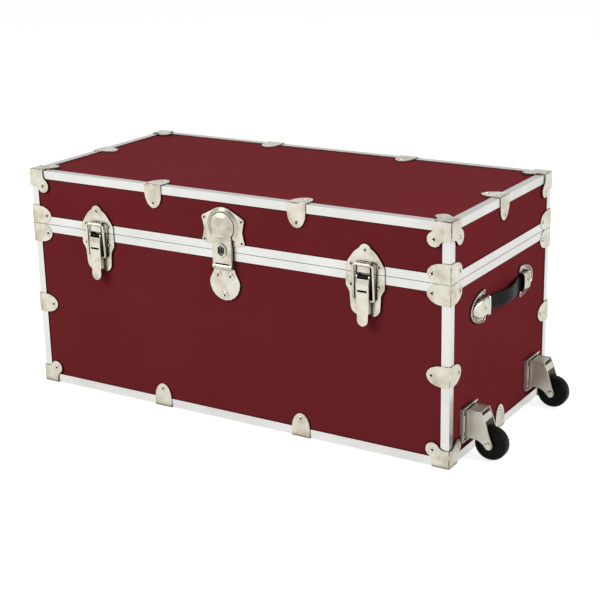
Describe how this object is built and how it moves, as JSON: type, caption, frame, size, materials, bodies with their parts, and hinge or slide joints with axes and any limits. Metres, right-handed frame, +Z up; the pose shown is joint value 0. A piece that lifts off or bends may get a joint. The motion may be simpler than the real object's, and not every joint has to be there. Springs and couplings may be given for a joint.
{
  "type": "storage trunk",
  "caption": "Wheeled storage trunk with a hinged lid, edge trims, riveted corners, draw latches, a hasp lock, end handles and lift-off casters on one end.",
  "frame": {"origin": "on the floor, under the middle of everything the closed trunk reaches", "axes": "+X towards the caster end, -Y the front with the lock, +Z up"},
  "size_m": [0.8938, 0.3974, 0.393],
  "materials": {
    "board": "plywood faced with burgundy sheet",
    "edge_trim": "satin",
    "hardware": "nickel plated",
    "strap": "black, stitched",
    "wheel": "hard black tread"
  },
  "bodies": {
    "base": {"base_bottom_panel": "board", "base_front_panel": "board", "base_back_panel": "board", "base_left_panel": "board", "base_right_panel": "board", "base_bottom_trim": "edge_trim", "base_rim_trim": "edge_trim", "base_corner_trim_front_left": "edge_trim", "base_corner_trim_front_right": "edge_trim", "base_corner_trim_back_left": "edge_trim", "base_corner_trim_back_right": "edge_trim", "base_corner_front_left": "hardware", "base_corner_front_right": "hardware", "base_corner_back_left": "hardware", "base_corner_back_right": "hardware", "hinge_base_leaf": "hardware", "hinge_pin": "hardware", "latch_plate_left": "hardware", "latch_plate_right": "hardware", "lock_base_plate": "hardware", "caster_plate_front": "hardware", "caster_plate_back": "hardware", "handle_cap_left_front": "hardware", "handle_cap_left_back": "hardware", "handle_cap_right_front": "hardware", "handle_cap_right_back": "hardware", "lid_stay_lower_stud": "hardware"},
    "lid": {"lid_top_panel": "board", "lid_front_panel": "board", "lid_back_panel": "board", "lid_left_panel": "board", "lid_right_panel": "board", "lid_top_trim": "edge_trim", "lid_rim_trim": "edge_trim", "lid_corner_front_left": "hardware", "lid_corner_front_right": "hardware", "lid_corner_back_left": "hardware", "lid_corner_back_right": "hardware", "hinge_lid_leaf": "hardware", "latch_catch_left": "hardware", "latch_catch_right": "hardware", "lock_catch_plate": "hardware", "lid_stay_upper_stud": "hardware"},
    "latch_lever_left": {"latch_lever_left": "hardware"},
    "latch_link_left": {"latch_link_left": "hardware"},
    "handle_strap_left": {"handle_strap_left": "strap"},
    "latch_lever_right": {"latch_lever_right": "hardware"},
    "latch_link_right": {"latch_link_right": "hardware"},
    "handle_strap_right": {"handle_strap_right": "strap"},
    "lock_hasp": {"lock_hasp": "hardware"},
    "lock_plug": {"lock_plug": "hardware"},
    "lid_stay_arm": {"lid_stay_arm": "hardware"},
    "caster_fork_front": {"caster_fork_front": "hardware", "caster_axle_front": "hardware"},
    "caster_wheel_front": {"caster_wheel_front": "wheel"},
    "caster_fork_back": {"caster_fork_back": "hardware", "caster_axle_back": "hardware"},
    "caster_wheel_back": {"caster_wheel_back": "wheel"}
  },
  "joints": [
    {"name": "lid_hinge", "type": "hinge", "parent": "base", "child": "lid", "pos_m": [-0.02705, 0.1953, 0.296], "axis": [-1, 0, 0], "range_deg": [0, 100]},
    {"name": "lid_stay_pivot", "type": "hinge", "parent": "lid", "child": "lid_stay_arm", "pos_m": [0.35995, 0.1112, 0.3165], "axis": [-1, 0, 0], "range_deg": [-50, 0]},
    {"name": "latch_lever_left_pivot", "type": "hinge", "parent": "base", "child": "latch_lever_left", "pos_m": [-0.28805, -0.1933, 0.291], "axis": [-1, 0, 0], "range_deg": [0, 130]},
    {"name": "latch_link_left_pivot", "type": "hinge", "parent": "latch_lever_left", "child": "latch_link_left", "pos_m": [-0.28805, -0.1933, 0.254], "axis": [-1, 0, 0], "range_deg": [-130, 0]},
    {"name": "latch_lever_right_pivot", "type": "hinge", "parent": "base", "child": "latch_lever_right", "pos_m": [0.23395, -0.1933, 0.291], "axis": [-1, 0, 0], "range_deg": [0, 130]},
    {"name": "latch_link_right_pivot", "type": "hinge", "parent": "latch_lever_right", "child": "latch_link_right", "pos_m": [0.23395, -0.1933, 0.254], "axis": [-1, 0, 0], "range_deg": [-130, 0]},
    {"name": "lock_hasp_hinge", "type": "hinge", "parent": "base", "child": "lock_hasp", "pos_m": [-0.02705, -0.1919, 0.2715], "axis": [1, 0, 0], "range_deg": [0, 150]},
    {"name": "lock_plug_turn", "type": "hinge", "parent": "lock_hasp", "child": "lock_plug", "pos_m": [-0.02705, -0.1933, 0.299], "axis": [0, -1, 0], "range_deg": [0, 90]},
    {"name": "handle_left_play", "type": "slide", "parent": "base", "child": "handle_strap_left", "axis": [-1, 0, 0], "range_m": [0, 0.0035]},
    {"name": "handle_right_play", "type": "slide", "parent": "base", "child": "handle_strap_right", "axis": [1, 0, 0], "range_m": [0, 0.0035]},
    {"name": "caster_front_lift", "type": "slide", "parent": "base", "child": "caster_fork_front", "axis": [0, 0, 1], "range_m": [0, 0.05]},
    {"name": "caster_front_roll", "type": "hinge", "parent": "caster_fork_front", "child": "caster_wheel_front", "pos_m": [0.42015, -0.1223, 0.0297], "axis": [0, 1, 0], "continuous": true},
    {"name": "caster_back_lift", "type": "slide", "parent": "base", "child": "caster_fork_back", "axis": [0, 0, 1], "range_m": [0, 0.05]},
    {"name": "caster_back_roll", "type": "hinge", "parent": "caster_fork_back", "child": "caster_wheel_back", "pos_m": [0.42015, 0.1267, 0.0297], "axis": [0, 1, 0], "continuous": true}
  ],
  "couplings": [
    {"joint": "lid_stay_pivot", "follows": "lid_hinge", "ratio": -0.5},
    {"joint": "latch_link_left_pivot", "follows": "latch_lever_left_pivot", "ratio": -1},
    {"joint": "latch_link_right_pivot", "follows": "latch_lever_right_pivot", "ratio": -1}
  ]
}
